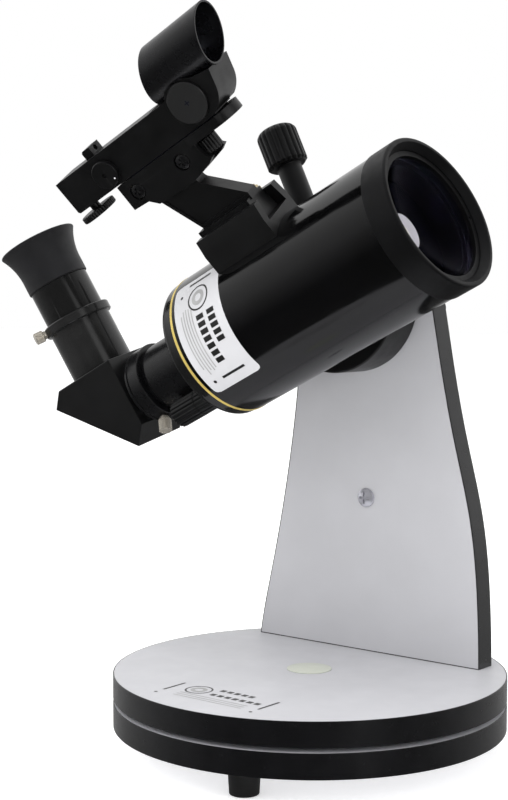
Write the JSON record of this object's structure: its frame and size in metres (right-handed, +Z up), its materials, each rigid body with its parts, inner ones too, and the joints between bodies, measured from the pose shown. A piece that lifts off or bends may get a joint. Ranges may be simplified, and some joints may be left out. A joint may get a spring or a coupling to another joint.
{
  "type": "tabletop telescope",
  "caption": "Short reflecting-refracting telescope with star diagonal and red-dot finder on a round tabletop rocker base with a single side arm.",
  "frame": {"origin": "azimuth axis at the level of the bottom of the feet", "axes": "+Z up, +X the way the tube points seen from above, +Y the side the arm stands on"},
  "size_m": [0.295, 0.2, 0.3695],
  "materials": {
    "white_laminate": "white melamine laminate on particle board",
    "edge_band": "satin black edge banding",
    "foot_rubber": "matt moulded rubber",
    "eyecup_rubber": "soft matt rubber",
    "steel": "bright zinc",
    "slippery_pad": "natural low-friction plastic",
    "cap_plastic": "translucent off-white",
    "fibre": "fibre washer",
    "tube_paint": "gloss black enamel",
    "black_metal": "satin black anodised",
    "moulded_black": "satin moulded",
    "gold_trim": "gold-coloured anodised ring",
    "nickel": "nickel plated",
    "chrome": "chromed",
    "brass": "pale brass",
    "coated_glass": "blue-violet coated optical glass",
    "silvered_glass": "front-silvered"
  },
  "bodies": {
    "ground": {"ground_board": "white_laminate", "ground_edge_band": "edge_band", "feet": "foot_rubber", "foot_screws": "steel", "azimuth_pads": "slippery_pad", "azimuth_bolt": "steel", "azimuth_nut": "steel"},
    "turntable": {"turntable_board": "white_laminate", "turntable_edge_band": "edge_band", "pivot_bush": "slippery_pad", "pivot_cap": "cap_plastic", "arm_board": "white_laminate", "arm_edge_band": "edge_band", "arm_base_screws": "steel", "arm_face_screw": "steel", "altitude_bush": "slippery_pad", "tension_washer": "steel"},
    "telescope": {"altitude_hub": "moulded_black", "altitude_bolt": "steel", "friction_washer": "fibre", "dovetail_bar": "black_metal", "main_tube": "tube_paint", "front_ring": "black_metal", "corrector_lens": "coated_glass", "retaining_ring": "black_metal", "trim_ring": "gold_trim", "rear_cell": "black_metal", "baffle_tube": "black_metal", "visual_back": "black_metal", "visual_back_ring": "black_metal", "finder_shoe": "moulded_black"},
    "tension_knob": {"tension_knob": "moulded_black"},
    "clamp_knob": {"clamp_knob": "moulded_black"},
    "focuser": {"focus_knob": "moulded_black", "focus_shaft": "steel"},
    "mirror_cell": {"mirror_carrier": "black_metal", "primary_mirror": "silvered_glass"},
    "visual_back_screw": {"visual_back_screw": "nickel"},
    "diagonal": {"diagonal_housing": "moulded_black", "diagonal_mirror": "silvered_glass", "diagonal_nose": "chrome", "eyepiece_holder": "black_metal"},
    "holder_screw": {"holder_screw": "nickel"},
    "eyepiece": {"eyepiece_barrel": "chrome", "eyepiece_body": "black_metal", "field_lens": "coated_glass", "eye_lens": "coated_glass", "eyecup": "eyecup_rubber"},
    "shoe_screw": {"shoe_screw": "brass"},
    "finder_mount": {"finder_bracket": "moulded_black", "bracket_screws": "black_metal"},
    "finder_azimuth_knob": {"finder_azimuth_knob": "moulded_black"},
    "finder_body": {"finder_body": "moulded_black", "battery": "steel"},
    "dimmer_dial": {"dimmer_dial": "moulded_black"},
    "finder_wheel": {"finder_wheel": "moulded_black"},
    "finder_hood": {"finder_yoke": "moulded_black", "pivot_discs": "moulded_black", "hood_tube": "black_metal", "hood_lens": "coated_glass"}
  },
  "joints": [
    {"name": "azimuth_turn", "type": "hinge", "parent": "ground", "child": "turntable", "pos_m": [0, 0, 0.035], "axis": [0, 0, 1], "continuous": true},
    {"name": "altitude_tilt", "type": "hinge", "parent": "turntable", "child": "telescope", "pos_m": [-0.00821, 0.058, 0.23032], "axis": [0, -1, 0], "range_deg": [-26, 63.9]},
    {"name": "tension_knob_turn", "type": "hinge", "parent": "telescope", "child": "tension_knob", "pos_m": [-0.00821, 0.075, 0.23032], "axis": [0, 1, 0], "range_deg": [0, 720]},
    {"name": "clamp_knob_turn", "type": "hinge", "parent": "telescope", "child": "clamp_knob", "pos_m": [-0.03713, 0.041, 0.28297], "axis": [-0.4392, 0, 0.8984], "range_deg": [0, 720]},
    {"name": "focus_turn", "type": "hinge", "parent": "telescope", "child": "focuser", "pos_m": [-0.06072, -0.01294, 0.17638], "axis": [0.8984, 0, 0.4392], "range_deg": [-1080, 1080]},
    {"name": "mirror_travel", "type": "slide", "parent": "telescope", "child": "mirror_cell", "axis": [0.8984, 0, 0.4392], "range_m": [-0.003, 0.003]},
    {"name": "visual_back_screw_turn", "type": "hinge", "parent": "telescope", "child": "visual_back_screw", "pos_m": [-0.09327, -0.00684, 0.16782], "axis": [0.4127, -0.342, -0.8442], "range_deg": [0, 720]},
    {"name": "diagonal_roll", "type": "hinge", "parent": "telescope", "child": "diagonal", "pos_m": [-0.09882, 0, 0.18602], "axis": [0.8984, 0, 0.4392], "range_deg": [-12.3, 77.7]},
    {"name": "holder_screw_turn", "type": "hinge", "parent": "diagonal", "child": "holder_screw", "pos_m": [-0.16247, -0.02559, 0.21033], "axis": [-0.4642, -0.7816, -0.4166], "range_deg": [0, 720]},
    {"name": "eyepiece_slide", "type": "slide", "parent": "diagonal", "child": "eyepiece", "axis": [-0.4291, -0.213, 0.8778], "range_m": [0, 0.035]},
    {"name": "shoe_screw_turn", "type": "hinge", "parent": "telescope", "child": "shoe_screw", "pos_m": [-0.02578, -0.01542, 0.27797], "axis": [-0.3051, 0.7193, 0.6241], "range_deg": [0, 720]},
    {"name": "finder_slide", "type": "slide", "parent": "telescope", "child": "finder_mount", "axis": [0.8984, 0, 0.4392], "range_m": [0, 0.045]},
    {"name": "finder_swing", "type": "hinge", "parent": "finder_mount", "child": "finder_body", "pos_m": [-0.01844, -0.0527, 0.31919], "axis": [-0.3724, -0.5299, 0.7619], "range_deg": [-3, 3]},
    {"name": "finder_azimuth_knob_turn", "type": "hinge", "parent": "finder_mount", "child": "finder_azimuth_knob", "pos_m": [-0.02588, -0.04769, 0.30663], "axis": [-0.3724, -0.5299, 0.7619], "range_deg": [-180, 180]},
    {"name": "hood_tilt", "type": "hinge", "parent": "finder_body", "child": "finder_hood", "pos_m": [-0.02311, -0.05935, 0.32875], "axis": [0.2327, -0.848, -0.4761], "range_deg": [-2, 2]},
    {"name": "finder_wheel_turn", "type": "hinge", "parent": "finder_body", "child": "finder_wheel", "pos_m": [-0.09854, -0.05034, 0.27584], "axis": [-0.3724, -0.5299, 0.7619], "range_deg": [-180, 180]},
    {"name": "dimmer_turn", "type": "hinge", "parent": "finder_body", "child": "dimmer_dial", "pos_m": [-0.07755, -0.06656, 0.29188], "axis": [0.2327, -0.848, -0.4761], "range_deg": [0, 270]}
  ],
  "couplings": [
    {"joint": "focus_turn", "follows": "mirror_travel", "rad_per_m": 6283.2},
    {"joint": "finder_azimuth_knob_turn", "follows": "finder_swing", "ratio": 60},
    {"joint": "finder_wheel_turn", "follows": "hood_tilt", "ratio": 90}
  ]
}
